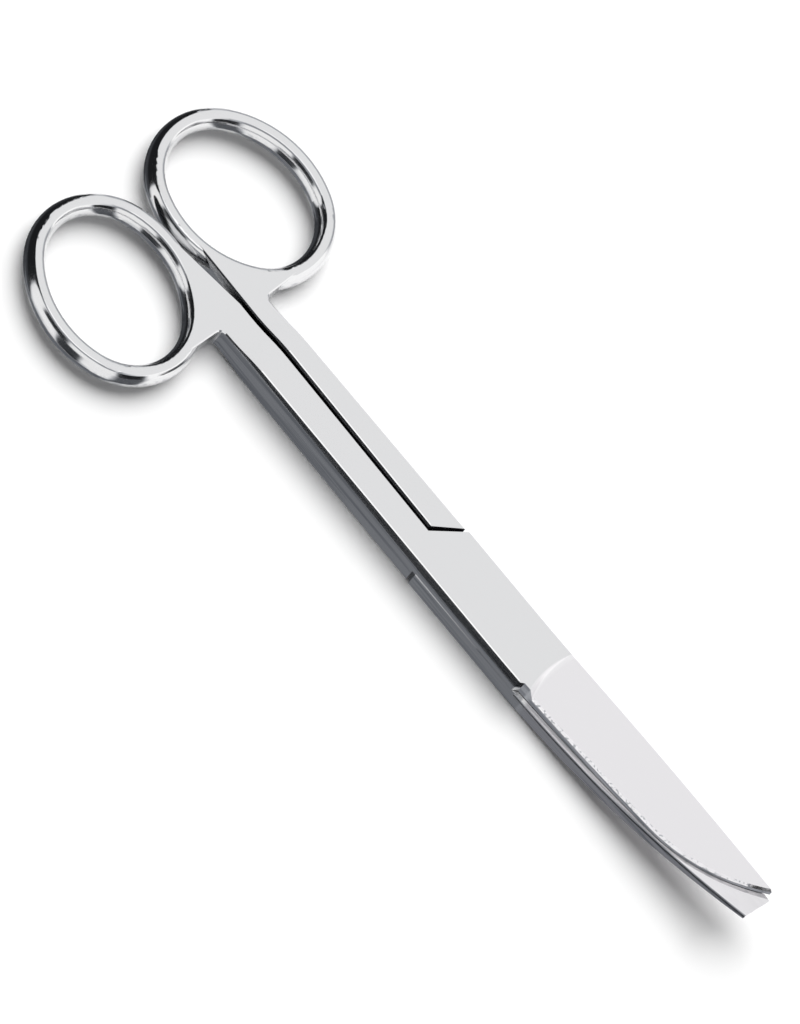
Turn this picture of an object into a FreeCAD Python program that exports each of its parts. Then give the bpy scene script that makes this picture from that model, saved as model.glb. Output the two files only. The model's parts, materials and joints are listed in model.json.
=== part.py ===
import FreeCAD, Part
import Sketcher
import math
import os

# Surgical dressing scissors, closed, lying on their underside, in millimetres.
# X runs from the finger rings to the tips and Z is up. The upper half has its ring
# at -Y and its blade on top; the lower half has its ring at +Y and its blade below.
# At the joint each half is halved in thickness, and they turn about a screw. Both
# outlines are drawn for the upper half, with the screw axis at X = 0, Y = 0 and the
# underside at Z = 0. The lower half mirrors them in Y, but its shank is the narrower,
# because the seam between the two shanks leans.

V = FreeCAD.Vector
doc = FreeCAD.newDocument("dressing_scissors")

SIZES = [
    ("half_thickness", 2.8, "thickness of one half at the joint"),
    ("joint_half_width", 4.9, "half of the width across the joint"),
    ("ring_half_length", 13.55, "half length of the ring's centre line"),
    ("ring_half_width", 11.25, "half width of the ring's centre line"),
    ("ring_end_inset", 1.0, "half width less the centre line's radius at the ring's ends"),
    ("ring_turn", 12.0, "turn of the ring's long axis, in degrees"),
    ("bar_width", 3.1, "radial width of the ring's bar"),
    ("bar_height", 4.2, "height of the ring's bar"),
    ("bar_flat", 0.5, "width of the flat band on top of the bar"),
    ("bar_corner", 0.8, "radius of the bar's section beside the flat band"),
    ("ring_gap", 0.1, "gap between the two rings when closed"),
    ("neck_distance", 50.0, "screw axis to the corner between ring and shank"),
    ("ring_offset", 13.8, "that corner to the middle of the finger ring, along X"),
    ("neck_width", 4.6, "outer edge of the shank from the middle plane, at the neck"),
    ("neck_corner", 1.0, "radius in that corner"),
    ("slope_lead", 9.0, "start of the shank's thinning before that corner"),
    ("slope_length", 8.0, "length over which it thins to the ring's height"),
    ("seam_gap_joint", 0.45, "gap between the two shanks at the joint"),
    ("seam_gap_neck", 0.6, "the same at the neck"),
    ("seam_lean_joint", 0.25, "middle of that gap from the middle plane, at the joint"),
    ("seam_lean_neck", 0.9, "the same at the neck"),
    ("shoulder_inner", 9.7, "screw axis to the shoulder, at the seam"),
    ("shoulder_outer", 6.2, "screw axis to the shoulder, at the outer edge"),
    ("shoulder_gap", 0.6, "gap in front of the shoulder"),
    ("bend_distance", 8.0, "screw axis to where the blades start to curve"),
    ("blade_reach", 62.2, "screw axis to the end of the blunt blade"),
    ("blade_rise", 6.0, "rise of the blades' meeting face at that end"),
    ("end_thickness", 1.5, "thickness of the spine at that end"),
    ("blade_gap", 0.1, "gap between the blades"),
    ("heel_distance", 16.4, "screw axis to the heel of the cutting edge"),
    ("heel_step", 0.7, "step of the outline at the heel"),
    ("spine_distance", 22.0, "screw axis to where the spine sweeps in"),
    ("spine_width", 4.85, "spine from the middle plane, there"),
    ("edge_distance", 43.0, "screw axis to where the cutting edge sweeps in"),
    ("edge_width", 3.9, "cutting edge from the middle plane, there"),
    ("point_setback", 0.7, "sharp point short of the blunt end"),
    ("point_width", 2.6, "sharp point from the middle plane"),
    ("blunt_spine_width", 2.6, "spine corner of the blunt end from the middle plane"),
    ("blunt_edge_width", 1.9, "edge corner of the blunt end from the middle plane"),
    ("blunt_skew", 0.4, "lead of the edge corner over the spine corner"),
    ("grind_angle", 8.0, "slope of the ground face towards the cutting edge, in degrees"),
    ("grind_distance", 16.8, "screw axis to where the ground face starts, at its nearest"),
    ("grind_radius", 16.0, "radius of the line where it starts"),
    ("grind_centre", 1.2, "centre of that line from the middle plane"),
    ("grind_slope", 0.7, "run of that start for each millimetre of depth"),
    ("bevel_depth", 0.4, "cutting bevel, down the edge"),
    ("bevel_width", 0.3, "cutting bevel, across the face"),
    ("edge_bevel", 0.2, "bevel of the long edges of the shank"),
    ("screw_radius", 1.6, "radius of the screw's shank"),
    ("screw_clearance", 0.05, "radial clearance round the screw in the lower half"),
    ("head_radius", 2.9, "radius of the screw's head"),
    ("head_height", 1.2, "height of the screw's head"),
    ("head_clearance", 0.1, "clearance round the head and above it"),
    ("head_recess", 0.15, "depth of the head below the underside"),
    ("slot_width", 0.7, "width of the screwdriver slot"),
    ("slot_depth", 0.6, "depth of the slot"),
]

sheet = doc.addObject("Spreadsheet::Sheet", "Size")
for row, (name, size, meaning) in enumerate(SIZES, start=1):
    sheet.set("A%d" % row, meaning)
    sheet.set("B%d" % row, str(size))
    sheet.setAlias("B%d" % row, name)
doc.recompute()


def number(formula):
    return float(sheet.evalExpression(formula))


# Formulas that several outlines share.
THICKNESS = "2 * Size.half_thickness"
RING_TOP = "Size.half_thickness + Size.bar_height / 2"
RING_BOTTOM = "Size.half_thickness - Size.bar_height / 2"
RING_DISTANCE = "(Size.neck_distance + Size.ring_offset)"
FAR_END = RING_DISTANCE + " + Size.ring_half_length + 2 * Size.bar_width"
REACH_OF_BEND = "(Size.blade_reach - Size.bend_distance)"

# The ring's centre line is an oval of four tangent arcs: two ends of radius e and two
# sides, whose radius follows from the oval's half length p and half width q
# as ((p - e)^2 + q^2 - e^2) / (2 (q - e)).
END_RADIUS = "(Size.ring_half_width - Size.ring_end_inset)"
END_OFFSET = "(Size.ring_half_length - %s)" % END_RADIUS
SIDE_RADIUS = "(%s^2 + Size.ring_half_width^2 - %s^2) / (2 * Size.ring_end_inset)" % (
    END_OFFSET,
    END_RADIUS,
)
SIDE_OFFSET = "((%s) - Size.ring_half_width)" % SIDE_RADIUS
# The ring stands off the middle plane by half the gap, half the bar and its own reach.
RING_Y = "(Size.ring_gap / 2 + Size.bar_width / 2 + (%s) - %s * cos(Size.ring_turn))" % (
    SIDE_RADIUS,
    SIDE_OFFSET,
)


def plane_of(body, role):
    return next(part for part in body.Origin.OriginFeatures if part.Role == role)


def new_sketch(body, name, role):
    sketch = body.newObject("Sketcher::SketchObject", name)
    sketch.AttachmentSupport = [(plane_of(body, role), "")]
    sketch.MapMode = "FlatFace"
    return sketch


def bind(thing, path, formula):
    thing.setExpression(path, formula)


def pin(sketch, geometry, position, x, y):
    for kind, formula in (("DistanceX", x), ("DistanceY", y)):
        made = sketch.addConstraint(
            Sketcher.Constraint(kind, -1, 1, geometry, position, number(formula))
        )
        bind(sketch, "Constraints[%d]" % made, formula)


def set_radius(sketch, geometry, formula):
    made = sketch.addConstraint(Sketcher.Constraint("Radius", geometry, number(formula)))
    bind(sketch, "Constraints[%d]" % made, formula)


def arc_between(start, end, radius, turn):
    # The shorter arc from start to end. A left turn has its centre on the left.
    chord = end - start
    half = chord.Length / 2
    left = V(-chord.y, chord.x, 0).normalize()
    centre = (start + end) / 2 + left * turn * math.sqrt(radius**2 - half**2)
    first, last = (start, end) if turn > 0 else (end, start)
    angles = [math.atan2(point.y - centre.y, point.x - centre.x) for point in (first, last)]
    return Part.ArcOfCircle(Part.Circle(centre, V(0, 0, 1), radius), *angles)


def outline(sketch, corners, loose=()):
    # Each corner is (x, y) or (x, y, turn, radius), where turn is the way that the arc
    # to the next corner bends: 1 to the left, -1 to the right. Loose points close the
    # outline with straight lines and are held by constraints of their own.
    points = [V(number(corner[0]), number(corner[1]), 0) for corner in corners] + list(loose)
    count = len(points)
    base = sketch.GeometryCount
    ends = []
    for index, start in enumerate(points):
        end = points[(index + 1) % count]
        arc = corners[index][2:] if index < len(corners) else ()
        if not arc:
            sketch.addGeometry(Part.LineSegment(start, end))
            ends.append((1, 2))
            continue
        turn, radius = arc
        made = sketch.addGeometry(arc_between(start, end, number(radius), turn))
        ends.append((1, 2) if turn > 0 else (2, 1))
        set_radius(sketch, made, radius)
    for index in range(count):
        after = (index + 1) % count
        here, there = base + index, base + after
        sketch.addConstraint(
            Sketcher.Constraint("Coincident", here, ends[index][1], there, ends[after][0])
        )
    for index, corner in enumerate(corners):
        pin(sketch, base + index, ends[index][0], corner[0], corner[1])
    return base


def tangent_radius(run, rise):
    # Radius of the arc that leaves along its run and has moved aside by rise at its end.
    return "((%s)^2 + (%s)^2) / (2 * (%s))" % (run, rise, rise)


def mirrored(corners):
    # The same outline on the other side of the middle plane.
    return [
        (corner[0], "-(%s)" % corner[1]) + tuple([-corner[2], corner[3]] if corner[2:] else [])
        for corner in corners
    ]


def circle_point(outside, centre, radius, turn):
    # Where a line from a point outside a circle touches it. A turn of 1 takes the
    # touching line to the left of the line to the centre.
    towards = centre - outside
    angle = math.atan2(towards.y, towards.x) + turn * math.asin(radius / towards.Length)
    reach = math.sqrt(towards.Length**2 - radius**2)
    return outside + V(math.cos(angle), math.sin(angle), 0) * reach


def touch(sketch, line, position, x, y, radius):
    # Makes the line meet a circle in a tangent, by a radius drawn square to the line.
    centre = V(number(x), number(y), 0)
    spoke = sketch.addGeometry(Part.LineSegment(centre, sketch.getPoint(line, position)), True)
    pin(sketch, spoke, 1, x, y)
    sketch.addConstraint(Sketcher.Constraint("Coincident", spoke, 2, line, position))
    sketch.addConstraint(Sketcher.Constraint("Perpendicular", spoke, line))
    made = sketch.addConstraint(Sketcher.Constraint("Distance", spoke, number(radius)))
    bind(sketch, "Constraints[%d]" % made, radius)


# Plan outline of a half, drawn for the upper one. It starts at the neck, on the seam
# side, runs round the joint and the blade, and comes back along the outer edge. The
# seam leans towards the lower half, so that the upper shank is the wider.
def seam_edge(end, side):
    return "%d * Size.seam_lean_%s - Size.seam_gap_%s / 2" % (side, end, end)


def shank_start(side):
    return [
        ("-Size.neck_distance", seam_edge("neck", side)),
        ("Size.shoulder_gap - Size.shoulder_inner", seam_edge("joint", side)),
        ("Size.shoulder_gap - Size.shoulder_outer", "Size.joint_half_width"),
    ]


def spine(end_x, end_y):
    sweep = tangent_radius("%s - Size.spine_distance" % end_x, "Size.spine_width - %s" % end_y)
    return [("Size.spine_distance", "Size.spine_width", -1, sweep), (end_x, end_y)]


def cutting_edge(start_x, start_y):
    sweep = tangent_radius("%s - Size.edge_distance" % start_x, "Size.edge_width + %s" % start_y)
    return [
        (start_x, start_y, -1, sweep),
        ("Size.edge_distance", "-Size.edge_width"),
        ("Size.heel_distance", "Size.heel_step - Size.joint_half_width"),
        ("Size.heel_distance - Size.heel_step", "-Size.joint_half_width"),
        ("-Size.neck_distance", "-Size.neck_width"),
    ]


SHARP_X = "(Size.blade_reach - Size.point_setback)"
SHARP_BLADE = spine(SHARP_X, "Size.point_width")[:1] + cutting_edge(SHARP_X, "Size.point_width")
BLUNT_X = "(Size.blade_reach - Size.blunt_skew)"
BLUNT_BLADE = spine(BLUNT_X, "Size.blunt_spine_width") + cutting_edge(
    "Size.blade_reach", "-Size.blunt_edge_width"
)

# Centres and radii of the circles within the flat band of the ring near the neck.
END_X = "%s * cos(Size.ring_turn) - %s" % (END_OFFSET, RING_DISTANCE)
END_Y = "-(%s + %s * sin(Size.ring_turn))" % (RING_Y, END_OFFSET)
SIDE_X = "-(%s + %s * sin(Size.ring_turn))" % (RING_DISTANCE, SIDE_OFFSET)
SIDE_Y = "-(%s + %s * cos(Size.ring_turn))" % (RING_Y, SIDE_OFFSET)
END_BAND = END_RADIUS + " + Size.bar_flat / 4"
SIDE_BAND = "%s + Size.bar_flat / 4" % SIDE_RADIUS


def plan_sketch(body, name, blade, side):
    # The neck's two edges run on as tangents to circles inside the ring's flat band,
    # where the shank's top and the ring's lie level. What stands inside the ring's
    # centre line is cut away with its hole.
    corners = shank_start(side) + blade
    circles = [(END_X, END_Y, END_BAND, 1), (SIDE_X, SIDE_Y, SIDE_BAND, -1)]
    if side < 0:
        corners = mirrored(corners)
        circles = [(x, "-(%s)" % y, radius, -turn) for x, y, radius, turn in circles]
    sketch = new_sketch(body, name, "XY_Plane")
    touching = []
    for corner, (x, y, radius, turn) in zip((corners[-1], corners[0]), circles):
        outside = V(number(corner[0]), number(corner[1]), 0)
        point = circle_point(outside, V(number(x), number(y), 0), number(radius), turn)
        touching.append(point)
    base = outline(sketch, corners, touching)
    last = base + len(corners)
    touch(sketch, last - 1, 2, *circles[0][:3])
    touch(sketch, last + 1, 1, *circles[1][:3])
    return sketch


# Side outlines, as (X, Z). The shank thins to the ring's height in an S of two arcs.
SLOPE_START = "-(Size.neck_distance - Size.slope_lead)"
SLOPE_MIDDLE = SLOPE_START + " - Size.slope_length / 2"
SLOPE_END = SLOPE_START + " - Size.slope_length"
SLOPE_DROP = "(Size.half_thickness - Size.bar_height / 2)"
SLOPE_RADIUS = tangent_radius("Size.slope_length / 2", "%s / 2" % SLOPE_DROP)
UNDERSIDE = [
    ("-(%s)" % FAR_END, RING_BOTTOM),
    (SLOPE_END, RING_BOTTOM, -1, SLOPE_RADIUS),
    (SLOPE_MIDDLE, "%s / 2" % SLOPE_DROP, 1, SLOPE_RADIUS),
    (SLOPE_START, "0"),
]
TOPSIDE = [
    (SLOPE_START, THICKNESS, 1, SLOPE_RADIUS),
    (SLOPE_MIDDLE, "%s - %s / 2" % (THICKNESS, SLOPE_DROP), -1, SLOPE_RADIUS),
    (SLOPE_END, RING_TOP),
    ("-(%s)" % FAR_END, RING_TOP),
]
# Heights at the blades' end, and the arcs that lead up to them.
UPPER_INNER = "(Size.half_thickness + Size.blade_gap / 2)"
LOWER_INNER = "(Size.half_thickness - Size.blade_gap / 2)"
UPPER_END = "(%s + Size.blade_rise + Size.end_thickness)" % UPPER_INNER
LOWER_END = "(%s + Size.blade_rise - Size.end_thickness)" % LOWER_INNER
INNER_ARC = tangent_radius(REACH_OF_BEND, "Size.blade_rise")
UPPER_ARC = tangent_radius(REACH_OF_BEND, "%s - %s" % (UPPER_END, THICKNESS))
LOWER_ARC = tangent_radius(REACH_OF_BEND, LOWER_END)
UPPER_SIDE = UNDERSIDE + [
    ("Size.bend_distance", "0"),
    ("Size.bend_distance", UPPER_INNER, 1, INNER_ARC),
    ("Size.blade_reach", "%s + Size.blade_rise" % UPPER_INNER),
    ("Size.blade_reach", UPPER_END, -1, UPPER_ARC),
    ("Size.bend_distance", THICKNESS),
] + TOPSIDE
LOWER_SIDE = UNDERSIDE + [
    ("Size.bend_distance", "0", 1, LOWER_ARC),
    ("Size.blade_reach", LOWER_END),
    ("Size.blade_reach", "%s + Size.blade_rise" % LOWER_INNER, -1, INNER_ARC),
    ("Size.bend_distance", LOWER_INNER),
    ("Size.bend_distance", THICKNESS),
] + TOPSIDE


def name_of_upright_edge(shape, place):
    # The edge along Z that stands over a place in the plan.
    for index, edge in enumerate(shape.Edges, start=1):
        start, end = edge.Vertexes[0].Point, edge.Vertexes[-1].Point
        middle = (start + end) / 2
        if math.hypot(start.x - end.x, start.y - end.y) > 1e-6:
            continue
        if math.hypot(middle.x - place.x, middle.y - place.y) < 1e-6:
            return "Edge%d" % index
    raise ValueError("no upright edge at %s" % place)


def half_form(name, blade, side_corners, side):
    # Shank, joint and blade: the plan outline raised to a block, cut to the side
    # outline, and halved in thickness in front of the shoulder.
    body = doc.addObject("PartDesign::Body", name)
    plan = plan_sketch(body, name + "_plan", blade, side)
    block = body.newObject("PartDesign::Pad", name + "_block")
    block.Profile = plan
    bind(block, "Length", "%s + Size.half_thickness" % UPPER_END)
    doc.recompute()
    neck = V(-number("Size.neck_distance"), -side * number("Size.neck_width"), 0)
    corner = body.newObject("PartDesign::Fillet", name + "_neck")
    corner.Base = (block, [name_of_upright_edge(block.Shape, neck)])
    bind(corner, "Radius", "Size.neck_corner")
    around = new_sketch(body, name + "_side", "XZ_Plane")
    outline(around, side_corners)
    wide = "Size.blade_reach + %s" % FAR_END
    high = "%s + Size.half_thickness * 2" % UPPER_END
    outline(
        around,
        [
            ("-(%s)" % wide, "-Size.half_thickness"),
            (wide, "-Size.half_thickness"),
            (wide, high),
            ("-(%s)" % wide, high),
        ],
    )
    trim = body.newObject("PartDesign::Pocket", name + "_trim")
    trim.Profile = around
    trim.Type = "ThroughAll"
    trim.Midplane = True
    # The halving takes away the side of the thickness that faces the other half.
    front = "Size.bend_distance + Size.half_thickness"
    out = "2 * Size.joint_half_width"
    corners = [
        ("-Size.shoulder_inner", out),
        ("-Size.shoulder_inner", seam_edge("joint", side)),
        ("-Size.shoulder_outer", "-Size.joint_half_width"),
        ("-Size.shoulder_outer", "-(%s)" % out),
        (front, "-(%s)" % out),
        (front, out),
    ]
    lap = new_sketch(body, name + "_lap", "XY_Plane")
    outline(lap, corners if side > 0 else mirrored(corners))
    if side < 0:
        bind(lap, "AttachmentOffset.Base.z", THICKNESS)
    halving = body.newObject("PartDesign::Pocket", name + "_halving")
    halving.Profile = lap
    halving.Reversed = side > 0
    bind(halving, "Length", "Size.half_thickness")
    doc.recompute()
    return body


def ring_arcs(side):
    # The four arcs of the ring's centre line, each as its centre, its first point and
    # its sweep in degrees, in the plane of the ring's mid-height.
    turn = math.radians(number("Size.ring_turn")) * side
    middle = V(-number(RING_DISTANCE), -side * number(RING_Y), number("Size.half_thickness"))
    along = V(math.cos(turn), -math.sin(turn), 0)
    across = V(math.sin(turn), math.cos(turn), 0)
    end_offset, side_offset = number(END_OFFSET), number(SIDE_OFFSET)
    joint = math.degrees(math.atan2(side_offset, end_offset))
    arcs = []
    for offset, radius, start, sweep in (
        (along * end_offset, number(END_RADIUS), -joint, 2 * joint),
        (across * -side_offset, number(SIDE_RADIUS), joint, 180 - 2 * joint),
        (along * -end_offset, number(END_RADIUS), 180 - joint, 2 * joint),
        (across * side_offset, number(SIDE_RADIUS), 180 + joint, 180 - 2 * joint),
    ):
        angle = math.radians(start)
        centre = middle + offset
        outward = along * math.cos(angle) + across * math.sin(angle)
        arcs.append((centre, centre + outward * radius, sweep))
    return arcs


def bar_section(centre, point):
    # Flat bands above and below. Each side is half an oval: an arc of bar_corner, the
    # side's own wider arc and an arc of bar_corner again, all tangent.
    outward = (point - centre).normalize()
    flat = number("Size.bar_flat") / 2
    corner = number("Size.bar_corner")
    reach = number("Size.bar_width") / 2 - flat
    rise = number("Size.bar_height") / 2 - corner
    side_radius = (rise**2 + reach**2 - corner**2) / (2 * (reach - corner))
    meeting = math.atan2(rise, side_radius - reach)
    middle = (meeting + math.pi / 2) / 2

    def place(way, across, up):
        return point + outward * (way * (flat + across)) + V(0, 0, up)

    def corner_point(way, level, angle):
        return place(way, corner * math.cos(angle), level * (rise + corner * math.sin(angle)))

    def corner_arc(way, level, angles):
        return Part.Arc(*[corner_point(way, level, angle) for angle in angles])

    downwards = (math.pi / 2, middle, meeting)
    upwards = downwards[::-1]
    top, foot = rise + corner, -(rise + corner)
    edges = [
        Part.LineSegment(place(-1, 0, top), place(1, 0, top)),
        corner_arc(1, 1, downwards),
        Part.Arc(corner_point(1, 1, meeting), place(1, reach, 0), corner_point(1, -1, meeting)),
        corner_arc(1, -1, upwards),
        Part.LineSegment(place(1, 0, foot), place(-1, 0, foot)),
        corner_arc(-1, -1, downwards),
        Part.Arc(corner_point(-1, -1, meeting), place(-1, reach, 0), corner_point(-1, 1, meeting)),
        corner_arc(-1, 1, upwards),
    ]
    return Part.Face(Part.Wire([edge.toShape() for edge in edges]))


def ring_solid(side):
    # The bar's section turned about each arc's centre in turn.
    bars = [
        bar_section(centre, point).revolve(centre, V(0, 0, 1), sweep)
        for centre, point, sweep in ring_arcs(side)
    ]
    return bars[0].multiFuse(bars[1:]).removeSplitter()


def ring_hole(side):
    # What lies inside the ring's centre line, from below the scissors to above them.
    depth = V(0, 0, number(THICKNESS))
    edges = []
    for centre, point, sweep in ring_arcs(side):
        circle = Part.Circle(centre - depth, V(0, 0, 1), (point - centre).Length)
        first = math.atan2(point.y - centre.y, point.x - centre.x)
        edges.append(Part.ArcOfCircle(circle, first, first + math.radians(sweep)).toShape())
    return Part.Face(Part.Wire(edges)).extrude(depth * 2)


def feature(name, shape):
    thing = doc.addObject("Part::Feature", name)
    thing.Shape = shape
    return thing


def cylinder(name, radius, height, bottom):
    thing = doc.addObject("Part::Cylinder", name)
    bind(thing, "Radius", radius)
    bind(thing, "Height", height)
    bind(thing, "Placement.Base.z", bottom)
    return thing


def combine(kind, name, base, tool):
    thing = doc.addObject("Part::" + kind, name)
    thing.Base = base
    thing.Tool = tool
    thing.Refine = True
    return thing


def grind_cutter(name, side):
    # Takes the outer face of a blade down towards its cutting edge: what lies beyond
    # that face, tilted about the spine.
    profile = doc.addObject("Sketcher::SketchObject", name + "_profile")
    profile.Placement.Rotation = FreeCAD.Rotation(V(1, 0, 0), 90)
    beyond = "2 * Size.joint_half_width"
    if side > 0:
        corners = [
            ("0", THICKNESS),
            ("Size.bend_distance", THICKNESS, 1, UPPER_ARC),
            ("Size.blade_reach", UPPER_END),
            ("Size.blade_reach + %s" % beyond, UPPER_END),
            ("Size.blade_reach + %s" % beyond, "%s + %s" % (UPPER_END, beyond)),
            ("0", "%s + %s" % (UPPER_END, beyond)),
        ]
    else:
        corners = [
            ("0", "0"),
            ("Size.bend_distance", "0", 1, LOWER_ARC),
            ("Size.blade_reach", LOWER_END),
            ("Size.blade_reach + %s" % beyond, LOWER_END),
            ("Size.blade_reach + %s" % beyond, "-(%s)" % beyond),
            ("0", "-(%s)" % beyond),
        ]
    outline(profile, corners)
    slab = doc.addObject("Part::Extrusion", name + "_slab")
    slab.Base = profile
    slab.DirMode = "Custom"
    slab.Dir = V(0, 1, 0)
    slab.Solid = True
    slab.Symmetric = True
    bind(slab, "LengthFwd", "4 * Size.joint_half_width")
    spine_y = "%d * Size.joint_half_width" % side
    face = THICKNESS if side > 0 else "0"
    slab.Placement.Rotation = FreeCAD.Rotation(V(1, 0, 0), number("Size.grind_angle"))
    # The turn is about the line Y = spine_y at the face's height.
    bind(slab, "Placement.Rotation.Angle", "Size.grind_angle")
    bind(
        slab,
        "Placement.Base.y",
        "(%s) * (1 - cos(Size.grind_angle)) + (%s) * sin(Size.grind_angle)" % (spine_y, face),
    )
    bind(
        slab,
        "Placement.Base.z",
        "(%s) * (1 - cos(Size.grind_angle)) - (%s) * sin(Size.grind_angle)" % (face, spine_y),
    )
    # The wheel is a cone that stands over the blade. The grind starts at the arc its rim
    # leaves, and nothing before that arc is taken.
    deep = "(%s + Size.blade_rise)" % THICKNESS
    flare = deep + " * Size.grind_slope"
    wide, narrow = "Size.grind_radius + " + flare, "Size.grind_radius - " + flare
    centre = "Size.grind_distance + Size.grind_radius"
    wheel = doc.addObject("Part::Cone", name + "_wheel")
    bind(wheel, "Radius1", narrow if side > 0 else wide)
    bind(wheel, "Radius2", wide if side > 0 else narrow)
    bind(wheel, "Height", "2 * " + deep)
    bind(wheel, "Placement.Base.x", centre)
    bind(wheel, "Placement.Base.y", "%d * Size.grind_centre" % side)
    bind(wheel, "Placement.Base.z", "%s - %s" % (face, deep))
    block = doc.addObject("Part::Box", name + "_block")
    bind(block, "Length", centre + " + Size.joint_half_width")
    bind(block, "Width", "16 * Size.joint_half_width")
    bind(block, "Height", "2 * " + deep)
    bind(block, "Placement.Base.x", "-Size.joint_half_width")
    bind(block, "Placement.Base.y", "-8 * Size.joint_half_width")
    bind(block, "Placement.Base.z", "%s - %s" % (face, deep))
    before = combine("Cut", name + "_before", block, wheel)
    return combine("Cut", name, slab, before)


def bevelled(name, base, sizes, wanted):
    # The base with a bevel on the edges that the test picks.
    thing = doc.addObject("Part::Chamfer", name)
    thing.Base = base
    chosen = [index for index, edge in enumerate(base.Shape.Edges, start=1) if wanted(edge)]
    thing.Edges = [(index, *[number(size) for size in sizes]) for index in chosen]
    doc.recompute()
    return thing


def is_long_shank_edge(edge):
    # The straight edges that start where the shank thins and run to the joint.
    box = edge.BoundBox
    return (
        box.ZLength < 1e-6
        and abs(box.XMin - number(SLOPE_START)) < 1e-6
        and box.XMax > -number("Size.shoulder_inner") - 1e-6
    )


def meeting_height(x):
    radius = number(INNER_ARC)
    run = max(x - number("Size.bend_distance"), 0)
    return number("Size.half_thickness") + radius - math.sqrt(radius**2 - run**2)


def is_cutting_edge(edge, side):
    # The outer edges of the ground face, from the heel to the tip, less the spine's.
    box = edge.BoundBox
    middle = edge.valueAt((edge.FirstParameter + edge.LastParameter) / 2)
    height = (middle.z - meeting_height(middle.x)) * side
    return (
        box.XMin > number("Size.heel_distance")
        and box.XLength > number("Size.edge_distance - Size.heel_distance") / 3
        and height > number("Size.blade_gap")
        and middle.y * side < number("Size.point_width") / 2
    )


def make_half(name, blade, side_corners, side, bore):
    form = half_form(name + "_form", blade, side_corners, side)
    shank_bevel = ["Size.edge_bevel", "Size.edge_bevel"]
    eased = bevelled(name + "_eased", form, shank_bevel, is_long_shank_edge)
    hole = feature(name + "_ring_hole", ring_hole(side))
    ring = feature(name + "_ring", ring_solid(side))
    open_form = combine("Cut", name + "_open_form", eased, hole)
    handle = combine("Fuse", name + "_handle", open_form, ring)
    bored = combine("Cut", name + "_bored", handle, bore)
    ground = combine("Cut", name + "_ground", bored, grind_cutter(name + "_grind", side))
    doc.recompute()
    cutting_bevel = ["Size.bevel_depth", "Size.bevel_width"]
    return bevelled(name, ground, cutting_bevel, lambda edge: is_cutting_edge(edge, side))


# The screw's head lies in a counterbore in the underside. Its end is level with the
# top face, where it is finished flush with the upper half that it is screwed into.
thread = cylinder("thread", "Size.screw_radius", THICKNESS, "0")
upper = make_half("upper_half", SHARP_BLADE, UPPER_SIDE, 1, thread)

bore = cylinder("bore", "Size.screw_radius + Size.screw_clearance", THICKNESS, "0")
counterbore = cylinder(
    "counterbore",
    "Size.head_radius + Size.head_clearance",
    "Size.head_recess + Size.head_height + Size.head_clearance",
    "0",
)
stepped_bore = combine("Fuse", "stepped_bore", bore, counterbore)
lower = make_half("lower_half", BLUNT_BLADE, LOWER_SIDE, -1, stepped_bore)

shank = cylinder("screw_shank", "Size.screw_radius", THICKNESS + " - Size.head_recess", "Size.head_recess")
head = cylinder("screw_head", "Size.head_radius", "Size.head_height", "Size.head_recess")
blank = combine("Fuse", "screw_blank", shank, head)
slot = doc.addObject("Part::Box", "slot")
bind(slot, "Length", "4 * Size.head_radius")
bind(slot, "Width", "Size.slot_width")
bind(slot, "Height", "2 * Size.slot_depth")
bind(slot, "Placement.Base.x", "-2 * Size.head_radius")
bind(slot, "Placement.Base.y", "-Size.slot_width / 2")
bind(slot, "Placement.Base.z", "Size.head_recess - Size.slot_depth")
screw = combine("Cut", "pivot_screw", blank, slot)

# The origin is under the middle of the closed scissors' length. The rings reach back
# by their oval and half their bar, and the blunt blade reaches forward.
RINGS_REACH = "(%s + %s * cos(Size.ring_turn) + %s + Size.bar_width / 2)" % (
    RING_DISTANCE,
    END_OFFSET,
    END_RADIUS,
)
parts = [upper, lower, screw]
for part in parts:
    part.Label = part.Name
    bind(part, "Placement.Base.x", "(%s - Size.blade_reach) / 2" % RINGS_REACH)
doc.recompute()

for thing in doc.Objects:
    if "Invalid" in thing.State or "Error" in thing.State:
        raise RuntimeError("%s failed: %s" % (thing.Name, thing.State))
for part in parts:
    if part.Shape.isNull() or not part.Shape.isValid():
        raise RuntimeError("%s has no valid shape" % part.Label)

os.makedirs("parts", exist_ok=True)
for part in parts:
    part.Shape.exportStep("parts/%s.step" % part.Label)
    box = part.Shape.optimalBoundingBox()
    print(
        part.Label,
        "solids", len(part.Shape.Solids),
        "faces", len(part.Shape.Faces),
        "volume %.1f" % part.Shape.Volume,
        "X %.2f to %.2f" % (box.XMin, box.XMax),
        "Y %.2f to %.2f" % (box.YMin, box.YMax),
        "Z %.2f to %.2f" % (box.ZMin, box.ZMax),
    )
print("screw axis at X %.3f" % screw.Placement.Base.x)
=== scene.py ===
import json
import bpy
import numpy as np
from mathutils import Matrix, Vector

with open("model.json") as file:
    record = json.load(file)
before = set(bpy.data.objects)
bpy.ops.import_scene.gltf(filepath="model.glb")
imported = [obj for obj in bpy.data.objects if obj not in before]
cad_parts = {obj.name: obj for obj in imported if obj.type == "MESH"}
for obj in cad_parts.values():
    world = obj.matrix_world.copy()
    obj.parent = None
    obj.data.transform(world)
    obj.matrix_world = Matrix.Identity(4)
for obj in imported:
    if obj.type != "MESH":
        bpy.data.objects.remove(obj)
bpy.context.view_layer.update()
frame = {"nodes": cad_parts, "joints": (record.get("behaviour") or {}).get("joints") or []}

mm = 0.001

# Curved dressing scissors, closed, lying on a white sweep under soft studio light.
# The forged halves and the screw are the CAD parts. This script gives them their polish, with a
# painted highlight on the blade and painted shade in the gaps, sets the studio that the steel mirrors,
# and frames the photograph.


# Camera: far off with a long lens, so the picture is nearly free of perspective.

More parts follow.
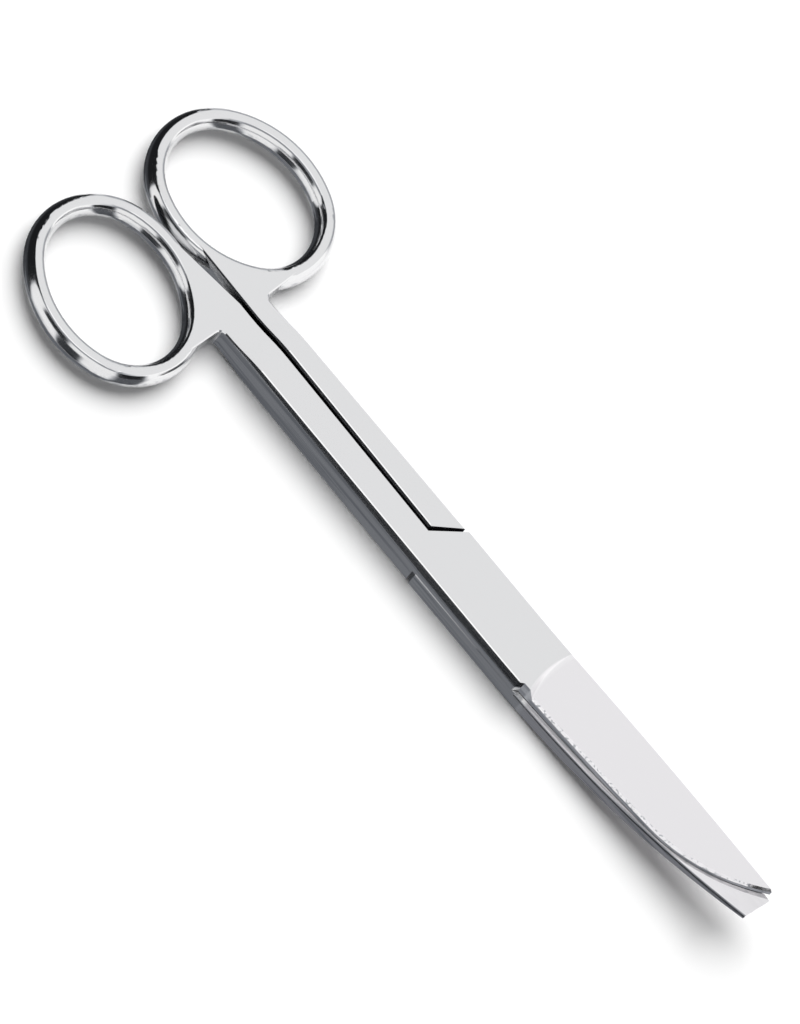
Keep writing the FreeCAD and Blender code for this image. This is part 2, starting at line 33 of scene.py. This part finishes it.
cameraSet = {
    "tilt": 31.5,           # lean from straight above towards -Y, degrees
    "turn": -5.6,           # lean towards +X, degrees
    "roll": 50.1,           # the long axis runs down to the right, degrees
    "pixelsPerMm": 7.04,    # at the height of the rings
    "ringPixel": (177.0, 244.6),    # where the middle between the rings lies
    "ringBehindPivot": 63.8,        # that point, from the screw axis, mm
    "ringHeight": 2.8,              # and its height, mm
    "distance": 2.5,                # metres
    "frame": (800, 1024),
}


def addCamera(spec, pivotX):
    tilt, turn, roll = np.radians([spec["tilt"], spec["turn"], spec["roll"]])
    # Two directions square to the view, before the roll, and the view itself.
    side = np.array([np.cos(turn), -np.sin(turn) * np.sin(tilt), np.sin(turn) * np.cos(tilt)])
    rise = np.array([0.0, np.cos(tilt), np.sin(tilt)])
    toCamera = np.array([-np.sin(turn), -np.cos(turn) * np.sin(tilt), np.cos(turn) * np.cos(tilt)])
    right = np.cos(roll) * side + np.sin(roll) * rise
    down = np.sin(roll) * side - np.cos(roll) * rise
    width, height = spec["frame"]
    x, y = spec["ringPixel"]
    known = np.array([pivotX - spec["ringBehindPivot"] * mm, 0.0, spec["ringHeight"] * mm])
    step = mm / spec["pixelsPerMm"]
    middle = known + right * (width / 2 - x) * step + down * (height / 2 - y) * step
    data = bpy.data.cameras.new("camera")
    data.sensor_width = 36.0
    data.lens = data.sensor_width * spec["distance"] / (height * step)
    data.clip_end = 20.0
    camera = bpy.data.objects.new("camera", data)
    turned = Matrix(np.stack([right, -down, toCamera], axis=1).tolist()).to_4x4()
    turned.translation = Vector(middle + toCamera * spec["distance"])
    camera.matrix_world = turned
    bpy.context.scene.collection.objects.link(camera)
    bpy.context.scene.camera = camera


pivot = np.array(frame["joints"][0]["pos_m"])
addCamera(cameraSet, pivot[0])
print("camera set, pivot at", pivot)


# Helpers for the node trees.

def newMaterial(name):
    material = bpy.data.materials.new(name)
    material.use_nodes = True
    nodes, links = material.node_tree.nodes, material.node_tree.links
    return material, nodes, links, nodes["Principled BSDF"]


def newGroup(name, inputs, outputs):
    group = bpy.data.node_groups.new(name, "ShaderNodeTree")
    for label, kind, value in inputs:
        socket = group.interface.new_socket(label, in_out="INPUT", socket_type=kind)
        if value is not None:
            socket.default_value = value
    for label, kind in outputs:
        group.interface.new_socket(label, in_out="OUTPUT", socket_type=kind)
    entry = group.nodes.new("NodeGroupInput")
    leave = group.nodes.new("NodeGroupOutput")
    return group, group.nodes, group.links, entry, leave


def setInputs(node, values):
    for label, value in values.items():
        node.inputs[label].default_value = value


def feed(links, value, socket):
    # A plain value is set on the socket itself, and an output is linked to it.
    if isinstance(value, (int, float, tuple)):
        socket.default_value = value
    else:
        links.new(value, socket)


def splitVector(nodes, links, vector):
    node = nodes.new("ShaderNodeSeparateXYZ")
    links.new(vector, node.inputs[0])
    return node.outputs


def maths(nodes, links, operation, first, second=None):
    node = nodes.new("ShaderNodeMath")
    node.operation = operation
    feed(links, first, node.inputs[0])
    if second is not None:
        feed(links, second, node.inputs[1])
    return node.outputs[0]


def ramp(nodes, links, value, fromEnds, toEnds):
    # A soft step of the value, from one end to the other.
    node = nodes.new("ShaderNodeMapRange")
    node.interpolation_type = "SMOOTHSTEP"
    links.new(value, node.inputs["Value"])
    for label, limit in zip(("From Min", "From Max", "To Min", "To Max"), (*fromEnds, *toEnds)):
        node.inputs[label].default_value = float(limit)
    return node.outputs["Result"]


def mix(nodes, links, factor, first, second):
    node = nodes.new("ShaderNodeMix")
    node.data_type = "FLOAT"
    for label, value in (("Factor", factor), ("A", first), ("B", second)):
        feed(links, value, node.inputs[label])
    return node.outputs["Result"]


mixPlaces = {"first": 6, "second": 7, "result": 2}     # sockets of a Mix node for colours


def mixColour(nodes, links, factor, first, second):
    node = nodes.new("ShaderNodeMix")
    node.data_type = "RGBA"
    feed(links, factor, node.inputs["Factor"])
    feed(links, first, node.inputs[mixPlaces["first"]])
    feed(links, second, node.inputs[mixPlaces["second"]])
    return node.outputs[mixPlaces["result"]]


def addBump(nodes, links, height, distance, normal=None):
    node = nodes.new("ShaderNodeBump")
    node.inputs["Distance"].default_value = distance
    links.new(height, node.inputs["Height"])
    if normal is not None:
        links.new(normal, node.inputs["Normal"])
    return node.outputs["Normal"]


# Shared finish: the marks that a polishing wheel leaves along a part.

def polishGroup():
    group, nodes, links, entry, leave = newGroup(
        "wheelPolish",
        [
            ("Vector", "NodeSocketVector", None),
            ("Wave Size", "NodeSocketFloat", 120.0),
            ("Line Size", "NodeSocketFloat", 900.0),
            ("Line Stretch", "NodeSocketFloat", 14.0),
            ("Roughness Low", "NodeSocketFloat", 0.08),
            ("Roughness High", "NodeSocketFloat", 0.2),
        ],
        [("Waves", "NodeSocketFloat"), ("Lines", "NodeSocketFloat"), ("Roughness", "NodeSocketFloat")],
    )
    waves = nodes.new("ShaderNodeTexNoise")
    setInputs(waves, {"Detail": 1.5, "Roughness": 0.4})
    links.new(entry.outputs["Vector"], waves.inputs["Vector"])
    links.new(entry.outputs["Wave Size"], waves.inputs["Scale"])
    # The lines run along X, so the pattern is stretched that way.
    along = splitVector(nodes, links, entry.outputs["Vector"])
    shrunk = maths(nodes, links, "DIVIDE", along["X"], entry.outputs["Line Stretch"])
    joined = nodes.new("ShaderNodeCombineXYZ")
    links.new(shrunk, joined.inputs["X"])
    links.new(along["Y"], joined.inputs["Y"])
    links.new(along["Z"], joined.inputs["Z"])
    lines = nodes.new("ShaderNodeTexNoise")
    setInputs(lines, {"Detail": 4.0, "Roughness": 0.65})
    links.new(joined.outputs[0], lines.inputs["Vector"])
    links.new(entry.outputs["Line Size"], lines.inputs["Scale"])
    spread = nodes.new("ShaderNodeMapRange")
    links.new(lines.outputs["Fac"], spread.inputs["Value"])
    setInputs(spread, {"From Min": 0.3, "From Max": 0.7})   # where most of the noise lies
    links.new(entry.outputs["Roughness Low"], spread.inputs["To Min"])
    links.new(entry.outputs["Roughness High"], spread.inputs["To Max"])
    links.new(waves.outputs["Fac"], leave.inputs["Waves"])
    links.new(lines.outputs["Fac"], leave.inputs["Lines"])
    links.new(spread.outputs["Result"], leave.inputs["Roughness"])
    return group


polish = polishGroup()


# Where the forms of the halves lie, and where a highlight and shade are painted on them, read from the
# place and the way a face looks.

forms = {
    "wallTilt": (0.15, 0.35),               # upward part of a wall's normal, from all to none
    "flankTilt": (0.8, 0.97),               # the same for the flanks of the seam
    "flatTilt": 0.98,                       # least upward part of the flat top's normal
    "flatDepth": 0.02 * mm,
    "likeness": (0.90, 0.95),               # of a normal to a given way, from none to all
    "top": 5.6 * mm,                        # height of the flat top
    "neck": pivot[0] - 50.0 * mm,
    "heel": pivot[0] + 16.4 * mm,
    # The wall's upper edge leans in over a depth that grows along the shank.
    "leanStart": (-38.0 * mm, 12.0 * mm),
    "leanDepth": (0.3 * mm, 1.1 * mm),
    "leanSlope": 0.81,
    "leanEnd": 0.6 * mm,                    # below that it turns upright
    "spineDepth": 0.25 * mm,                # the same on the lower blade's spine
    "spineSlope": 1.3,
    "bend": pivot[0] + 8.0 * mm,            # the blades start to curve up
    "bendRadius": 247.8 * mm,
    "meeting": 2.8 * mm,                    # height where the halves meet
    "seam": (0.9 * mm, 0.25 * mm, pivot[0] - 9.7 * mm),     # its middle, given as the facets are
    "seamReach": (0.4 * mm, 0.6 * mm),
    "seamStart": pivot[0] - 68.0 * mm,
    "shoulderStart": -20.8 * mm,
    "shoulderWay": (0.8, -0.6, 0.0),        # the way that the shoulder looks
    # Polished facets inside the long edges that look towards -Y: place of the edge
    # at the neck and at its other end, and how far along that end is.
    "facets": [
        (-4.6 * mm, -4.9 * mm, pivot[0] + 15.7 * mm),
        (1.2 * mm, 0.475 * mm, pivot[0] - 9.7 * mm),
    ],
    "facetReach": 0.42 * mm,
    "facetSlope": 0.47,
    "grindCentre": (pivot[0] + 32.8 * mm, 1.2 * mm),
    "grindRadius": (15.9 * mm, 16.3 * mm),
    # Where the painted highlight lies, a crescent just inside the grind's arc, and how it fades across
    # the blade.
    "highlightRadius": (14.9 * mm, 15.9 * mm),
    "highlightFade": (-4.5 * mm, 4.0 * mm),
    "highlightLeast": 0.35,                  # what is left of it at the far side
    "bevelWay": (0.0, -0.8, 0.6),           # the way that the cutting bevel looks
    "bevelSlope": 0.8,
}


formOutputs = ("Wall", "Ground", "PaintedHighlight", "Bevel", "PaintedGapShade", "Height")


def formGroup(spec):
    group, nodes, links, entry, leave = newGroup(
        "halfForms",
        [("Vector", "NodeSocketVector", None), ("Normal", "NodeSocketVector", None)],
        [(label, "NodeSocketFloat") for label in formOutputs],
    )

    def do(operation, first, second=None):
        return maths(nodes, links, operation, first, second)

    def soft(value, fromEnds, toEnds):
        return ramp(nodes, links, value, fromEnds, toEnds)

    x, y, z = splitVector(nodes, links, entry.outputs["Vector"])
    facing = splitVector(nodes, links, entry.outputs["Normal"])
    upward = do("ABSOLUTE", facing["Z"])
    wall = soft(upward, spec["wallTilt"], (1.0, 0.0))
    handle = do("LESS_THAN", x, spec["heel"])
    # On the blades the walls end at the face where the halves meet, which curves up.
    run = do("MAXIMUM", do("SUBTRACT", x, spec["bend"]), 0.0)
    curved = do("DIVIDE", do("MULTIPLY", run, run), 2 * spec["bendRadius"])
    top = mix(nodes, links, handle, do("ADD", curved, spec["meeting"]), spec["top"])
    depth = soft(x, spec["leanStart"], spec["leanDepth"])
    depth = mix(nodes, links, handle, spec["spineDepth"], depth)
    slope = mix(nodes, links, handle, spec["spineSlope"], spec["leanSlope"])
    below = do("SUBTRACT", top, z)
    straight = do("MAXIMUM", do("SUBTRACT", depth, below), 0.0)
    turn = do("SUBTRACT", do("ADD", depth, spec["leanEnd"]), below)
    turn = do("MINIMUM", do("MAXIMUM", turn, 0.0), spec["leanEnd"])
    turn = do("DIVIDE", do("MULTIPLY", turn, turn), 2 * spec["leanEnd"])
    lean = do("MULTIPLY", do("ADD", straight, turn), slope)
    height = do("MULTIPLY", lean, do("MULTIPLY", wall, -1.0))
    level = do("GREATER_THAN", upward, spec["flatTilt"])
    flat = do("MULTIPLY", do("GREATER_THAN", z, spec["top"] - spec["flatDepth"]), level)

    def across(start, end, reach):
        # Distance in Y from a line between the neck and a place further along.
        rise = (end - start) / (reach - spec["neck"])
        line = do("ADD", do("MULTIPLY", do("SUBTRACT", x, spec["neck"]), rise), start)
        return do("SUBTRACT", y, line)

    for start, end, reach in spec["facets"]:
        inside = across(start, end, reach)
        depth = do("MAXIMUM", do("SUBTRACT", spec["facetReach"], inside), 0.0)
        near = do("MULTIPLY", do("GREATER_THAN", inside, 0.0), do("LESS_THAN", x, reach))
        lowered = do("MULTIPLY", depth, -spec["facetSlope"])
        height = do("ADD", height, do("MULTIPLY", lowered, do("MULTIPLY", near, flat)))
    # The ground face starts at an arc and runs on to the tip.
    back = do("MAXIMUM", do("SUBTRACT", spec["grindCentre"][0], x), 0.0)
    side = do("SUBTRACT", y, spec["grindCentre"][1])
    distance = do("SQRT", do("ADD", do("MULTIPLY", back, back), do("MULTIPLY", side, side)))
    ground = soft(distance, spec["grindRadius"], (1.0, 0.0))
    # Painted highlight: just inside that arc a white crescent stands in for the light caught at the
    # start of the grind, and it fades across the blade.
    highlight = do("MULTIPLY", ground, soft(distance, spec["highlightRadius"], (0.0, 1.0)))
    highlight = do("MULTIPLY", highlight, do("GREATER_THAN", back, 0.0))
    fade = soft(y, spec["highlightFade"], (1.0, spec["highlightLeast"]))
    highlight = do("MULTIPLY", highlight, fade)

    def looks(way):
        likeness = nodes.new("ShaderNodeVectorMath")
        likeness.operation = "DOT_PRODUCT"
        links.new(entry.outputs["Normal"], likeness.inputs[0])
        likeness.inputs[1].default_value = way
        return soft(do("ABSOLUTE", likeness.outputs["Value"]), spec["likeness"], (0.0, 1.0))

    bevel = do("MULTIPLY", looks(spec["bevelWay"]), do("GREATER_THAN", x, spec["heel"]))
    leaned = do("MULTIPLY", do("MULTIPLY", z, spec["bevelSlope"]), bevel)
    height = do("SUBTRACT", height, leaned)
    # Painted shade goes on the walls of the gaps: the seam between the shanks and the one in front of
    # the shoulder.
    shoulder = do("MULTIPLY", looks(spec["shoulderWay"]), do("GREATER_THAN", x, spec["shoulderStart"]))
    seam = soft(do("ABSOLUTE", across(*spec["seam"])), spec["seamReach"], (1.0, 0.0))
    seam = do("MULTIPLY", seam, soft(upward, spec["flankTilt"], (1.0, 0.0)))
    seam = do("MULTIPLY", seam, do("GREATER_THAN", x, spec["seamStart"]))
    gap = do("MULTIPLY", do("MAXIMUM", shoulder, seam), handle)
    for label, value in zip(formOutputs, (wall, ground, highlight, bevel, gap, height)):
        links.new(value, leave.inputs[label])
    return group


halfForms = formGroup(forms)

halfSteel = {
    "colour": (0.80, 0.80, 0.805, 1.0),
    "groundColour": (0.865, 0.850, 0.865, 1.0),
    # painted highlight in the crescent inside the grind's arc
    "paintedHighlightColour": (1.0, 1.0, 1.0, 1.0),
    "roughness": (0.09, 0.16),
    "bevelRoughness": (0.22, 0.42),
    "waveSize": 90.0,
    "waveDepth": 0.02 * mm,
    "lineSize": 2200.0,
    "lineStretch": 18.0,
    "lineDepth": 0.0004 * mm,
    "streakColour": (0.50, 0.51, 0.53, 1.0),    # streaks on the walls
    "streakSize": 900.0,
    "streakStretch": 40.0,
    "streakEnds": (0.42, 0.66),
    "nickColour": (0.46, 0.47, 0.49, 1.0),      # nicks on the bevel
    "nickSize": 2600.0,
    "nickEnds": (0.54, 0.66),
    # painted shade on the walls of the gaps, while another wall is close
    "paintedGapShadeColour": (0.04, 0.04, 0.045, 1.0),      # walls that another wall is close to
    "gapShadeReach": 1.5 * mm,
    "gapShadeShare": (0.5, 0.9),
    "gapShadeSamples": 6,
}

# Turning marks on the screw, below the middle of its length.
screwMarks = {
    "top": 3.0 * mm,
    "rings": 2600.0,
    "depth": 0.002 * mm,
    "roughness": (0.16, 0.30),
}


def addPolish(nodes, links, place, waves, lines, stretch, roughness):
    node = nodes.new("ShaderNodeGroup")
    node.node_tree = polish
    low, high = roughness
    setInputs(node, {"Wave Size": waves, "Line Size": lines, "Line Stretch": stretch})
    setInputs(node, {"Roughness Low": low, "Roughness High": high})
    links.new(place.outputs["Object"], node.inputs["Vector"])
    return node.outputs


def addMarks(nodes, links, place, spec, rough, normal):
    # Rings about the screw's axis, from the distance to it.
    centred = nodes.new("ShaderNodeMapping")
    centred.inputs["Location"].default_value = (float(-pivot[0]), 0.0, 0.0)
    links.new(place.outputs["Object"], centred.inputs["Vector"])
    rings = nodes.new("ShaderNodeTexWave")
    rings.wave_type = "RINGS"
    rings.rings_direction = "Z"
    setInputs(rings, {"Scale": spec["rings"], "Distortion": 1.0, "Detail": 2.0})
    links.new(centred.outputs[0], rings.inputs["Vector"])
    height = splitVector(nodes, links, place.outputs["Object"])["Z"]
    low = maths(nodes, links, "LESS_THAN", height, spec["top"])
    turned = ramp(nodes, links, rings.outputs["Fac"], (0.0, 1.0), spec["roughness"])
    marks = maths(nodes, links, "MULTIPLY", rings.outputs["Fac"], low)
    normal = addBump(nodes, links, marks, spec["depth"], normal)
    return mix(nodes, links, low, rough, turned), normal


def makeSteel(name, spec, marks=None):
    material, nodes, links, shader = newMaterial(name)
    shader.inputs["Metallic"].default_value = 1.0
    place = nodes.new("ShaderNodeTexCoord")
    shapes = nodes.new("ShaderNodeGroup")
    shapes.node_tree = halfForms
    links.new(place.outputs["Object"], shapes.inputs["Vector"])
    links.new(place.outputs["Normal"], shapes.inputs["Normal"])
    form = shapes.outputs
    lines = (spec["waveSize"], spec["lineSize"], spec["lineStretch"])
    fine = addPolish(nodes, links, place, *lines, spec["roughness"])
    lines = (spec["nickSize"], spec["streakSize"], spec["streakStretch"])
    coarse = addPolish(nodes, links, place, *lines, spec["bevelRoughness"])
    streaks = ramp(nodes, links, coarse["Lines"], spec["streakEnds"], (0.0, 1.0))
    nicks = ramp(nodes, links, coarse["Waves"], spec["nickEnds"], (0.0, 1.0))
    # Painted shade: the walls of the gaps are darkened in colour only while another wall is close in
    # front.
    closeness = nodes.new("ShaderNodeAmbientOcclusion")
    closeness.samples = spec["gapShadeSamples"]
    closeness.inputs["Distance"].default_value = spec["gapShadeReach"]
    near = ramp(nodes, links, closeness.outputs["AO"], spec["gapShadeShare"], (1.0, 0.0))
    # The ground face is brighter, the walls have streaks, the bevel has nicks, the crescent has a
    # painted highlight and the gaps have painted shade.
    colour = mixColour(nodes, links, form["Ground"], spec["colour"], spec["groundColour"])
    for mask, share, name in (
        (streaks, "Wall", "streakColour"),
        (nicks, "Bevel", "nickColour"),
        (None, "PaintedHighlight", "paintedHighlightColour"),
        (near, "PaintedGapShade", "paintedGapShadeColour"),
    ):
        part = form[share] if mask is None else maths(nodes, links, "MULTIPLY", mask, form[share])
        colour = mixColour(nodes, links, part, colour, spec[name])
    links.new(colour, shader.inputs["Base Color"])
    rough = mix(nodes, links, form["Bevel"], fine["Roughness"], coarse["Roughness"])
    normal = addBump(nodes, links, form["Height"], 1.0)     # its height is in metres
    normal = addBump(nodes, links, fine["Waves"], spec["waveDepth"], normal)
    normal = addBump(nodes, links, fine["Lines"], spec["lineDepth"], normal)
    if marks:
        rough, normal = addMarks(nodes, links, place, marks, rough, normal)
    links.new(rough, shader.inputs["Roughness"])
    links.new(normal, shader.inputs["Normal"])
    return material


steel = makeSteel("polishedSteel", halfSteel)
screwSteel = makeSteel("turnedSteel", halfSteel, screwMarks)
finishes = {"upper_half": steel, "lower_half": steel, "pivot_screw": screwSteel}
for name, finish in finishes.items():
    piece = frame["nodes"][name]
    piece.data.materials.clear()
    piece.data.materials.append(finish)
print("steel on the halves and the screw")


# Studio: a white sweep to lie on, pale panels, and dark gaps between them, which draw
# the dark lines that polished steel needs. The steel mirrors this room. What lights
# the paper is plainer.

studio = {
    "floorReach": 3.0,
    "darkTint": (0.85, 0.90, 1.0, 1.0),     # the gaps are cooler than the panels
    "white": (1.0, 1.0, 1.0, 1.0),
    "sky": (0.34, 0.93),    # in the mirror: towards -Y, and elsewhere
    "lit": (0.02, 0.33),    # the same where it lights the paper
    "skyEdge": (-0.45, -0.08),  # where it changes, as the direction's Y
    "keyStrength": 3.0,
    "keySpread": 62.0,      # degrees
    "keyFrom": (-0.20, 0.40, 0.9),
    "keyReach": 2.0,        # metres
    # Each gap or panel: azimuth and height of its middle, half width, half height and
    # softness, all in degrees, and brightness.
    "patches": [
        (262, 68, 60, 9, 5, 1.30),      # lamp panel overhead
        (80, 5, 45, 25, 10, 0.45),      # far wall
        (270, -4, 55, 40, 5, 1.00),     # near panel
        (24, 6, 30, 27, 5, 1.15),       # panel off the tips
        (173, -6, 47, 51, 2, 0.015),    # dark room off the rings
        (192, 35, 29, 27, 2, 0.015),    # the same, higher up
        (173, -48, 47, 22, 8, 0.06),    # and its floor
        (262, -66, 70, 21, 5, 0.21),    # paper at the foot of the walls
        (256, 20, 15, 16, 2, 0.03),     # photographer
        (273, -20, 12, 26, 2, 0.05),    # and a shade on the floor beside
        (338, 8, 16, 17, 3, 0.02),      # gap between the panels
        (338, -28, 18, 24, 5, 0.12),    # and the floor before it
    ],
}


def studioGroup(spec):
    # Brightness of the room in a direction, and how far a panel or gap covers it.
    group, nodes, links, entry, leave = newGroup(
        "studioRoom",
        [("Direction", "NodeSocketVector", None)],
        [("Level", "NodeSocketFloat"), ("Cover", "NodeSocketFloat"), ("Tint", "NodeSocketColor")],
    )
    way = splitVector(nodes, links, entry.outputs["Direction"])
    height = maths(nodes, links, "ARCSINE", way["Z"])
    level = ramp(nodes, links, way["Y"], spec["skyEdge"], spec["sky"])
    cover = None
    for azimuth, middle, halfWidth, halfHeight, softness, brightness in spec["patches"]:
        # Angle round from the patch's middle, by turning the direction to it first.
        turn = nodes.new("ShaderNodeVectorRotate")
        turn.rotation_type = "Z_AXIS"
        turn.inputs["Angle"].default_value = float(-np.radians(azimuth))
        links.new(entry.outputs["Direction"], turn.inputs["Vector"])
        turned = splitVector(nodes, links, turn.outputs[0])
        angle = maths(nodes, links, "ARCTAN2", turned["Y"], turned["X"])
        across = maths(nodes, links, "ABSOLUTE", angle)
        above = maths(nodes, links, "SUBTRACT", height, float(np.radians(middle)))
        offset = maths(nodes, links, "ABSOLUTE", above)
        masks = []
        for value, limit in ((across, halfWidth), (offset, halfHeight)):
            ends = np.radians([limit - softness, limit + softness])
            masks.append(ramp(nodes, links, value, ends, (1.0, 0.0)))
        mask = maths(nodes, links, "MULTIPLY", masks[0], masks[1])
        level = mix(nodes, links, mask, level, brightness)
        cover = mask if cover is None else maths(nodes, links, "MAXIMUM", cover, mask)
    tint = mixColour(nodes, links, level, spec["darkTint"], spec["white"])
    for label, value in (("Level", level), ("Cover", cover), ("Tint", tint)):
        links.new(value, leave.inputs[label])
    return group


def addRoom(nodes, links, direction):
    node = nodes.new("ShaderNodeGroup")
    node.node_tree = room
    links.new(direction, node.inputs["Direction"])
    return node.outputs


def addFloor(spec):
    half = spec["floorReach"]
    corners = [(-half, -half, 0), (half, -half, 0), (half, half, 0), (-half, half, 0)]
    mesh = bpy.data.meshes.new("floor")
    mesh.from_pydata(corners, [], [(0, 1, 2, 3)])
    floor = bpy.data.objects.new("floor", mesh)
    bpy.context.scene.collection.objects.link(floor)
    material, nodes, links, shader = newMaterial("floorPaper")
    shader.inputs["Base Color"].default_value = spec["white"]
    shader.inputs["Roughness"].default_value = 1.0
    shader.inputs["Specular IOR Level"].default_value = 0.0
    # In the mirror the room covers the paper where it says so.
    geometry = nodes.new("ShaderNodeNewGeometry")
    away = nodes.new("ShaderNodeVectorMath")
    away.operation = "SCALE"
    away.inputs["Scale"].default_value = -1.0
    links.new(geometry.outputs["Incoming"], away.inputs[0])
    mirrored = addRoom(nodes, links, away.outputs[0])
    seen = nodes.new("ShaderNodeEmission")
    links.new(mirrored["Tint"], seen.inputs["Color"])
    links.new(mirrored["Level"], seen.inputs["Strength"])
    rays = nodes.new("ShaderNodeLightPath")
    share = nodes.new("ShaderNodeMixShader")
    part = maths(nodes, links, "MULTIPLY", mirrored["Cover"], rays.outputs["Is Glossy Ray"])
    links.new(part, share.inputs[0])
    links.new(shader.outputs[0], share.inputs[1])
    links.new(seen.outputs[0], share.inputs[2])
    links.new(share.outputs[0], nodes["Material Output"].inputs["Surface"])
    mesh.materials.append(material)


def addKey(spec):
    lamp = bpy.data.lights.new("key", "SUN")
    lamp.energy = spec["keyStrength"]
    lamp.angle = np.radians(spec["keySpread"])
    key = bpy.data.objects.new("key", lamp)
    away = Vector(spec["keyFrom"]).normalized()
    key.rotation_euler = away.to_track_quat("Z", "Y").to_euler()
    key.location = away * spec["keyReach"]
    key.visible_glossy = False
    bpy.context.scene.collection.objects.link(key)


def addSky(spec):
    world = bpy.data.worlds.new("sky")
    bpy.context.scene.world = world
    world.use_nodes = True
    nodes, links = world.node_tree.nodes, world.node_tree.links
    background = nodes["Background"]
    place = nodes.new("ShaderNodeTexCoord")
    way = splitVector(nodes, links, place.outputs["Generated"])
    lit = ramp(nodes, links, way["Y"], spec["skyEdge"], spec["lit"])
    mirrored = addRoom(nodes, links, place.outputs["Generated"])
    rays = nodes.new("ShaderNodeLightPath")
    glossy = rays.outputs["Is Glossy Ray"]
    level = mix(nodes, links, glossy, lit, mirrored["Level"])
    level = mix(nodes, links, rays.outputs["Is Camera Ray"], level, 1.0)
    tint = mixColour(nodes, links, glossy, spec["white"], mirrored["Tint"])
    links.new(tint, background.inputs["Color"])
    links.new(level, background.inputs["Strength"])


room = studioGroup(studio)
addFloor(studio)
addKey(studio)
addSky(studio)
bpy.context.scene.view_settings.view_transform = "Standard"
print("studio set")
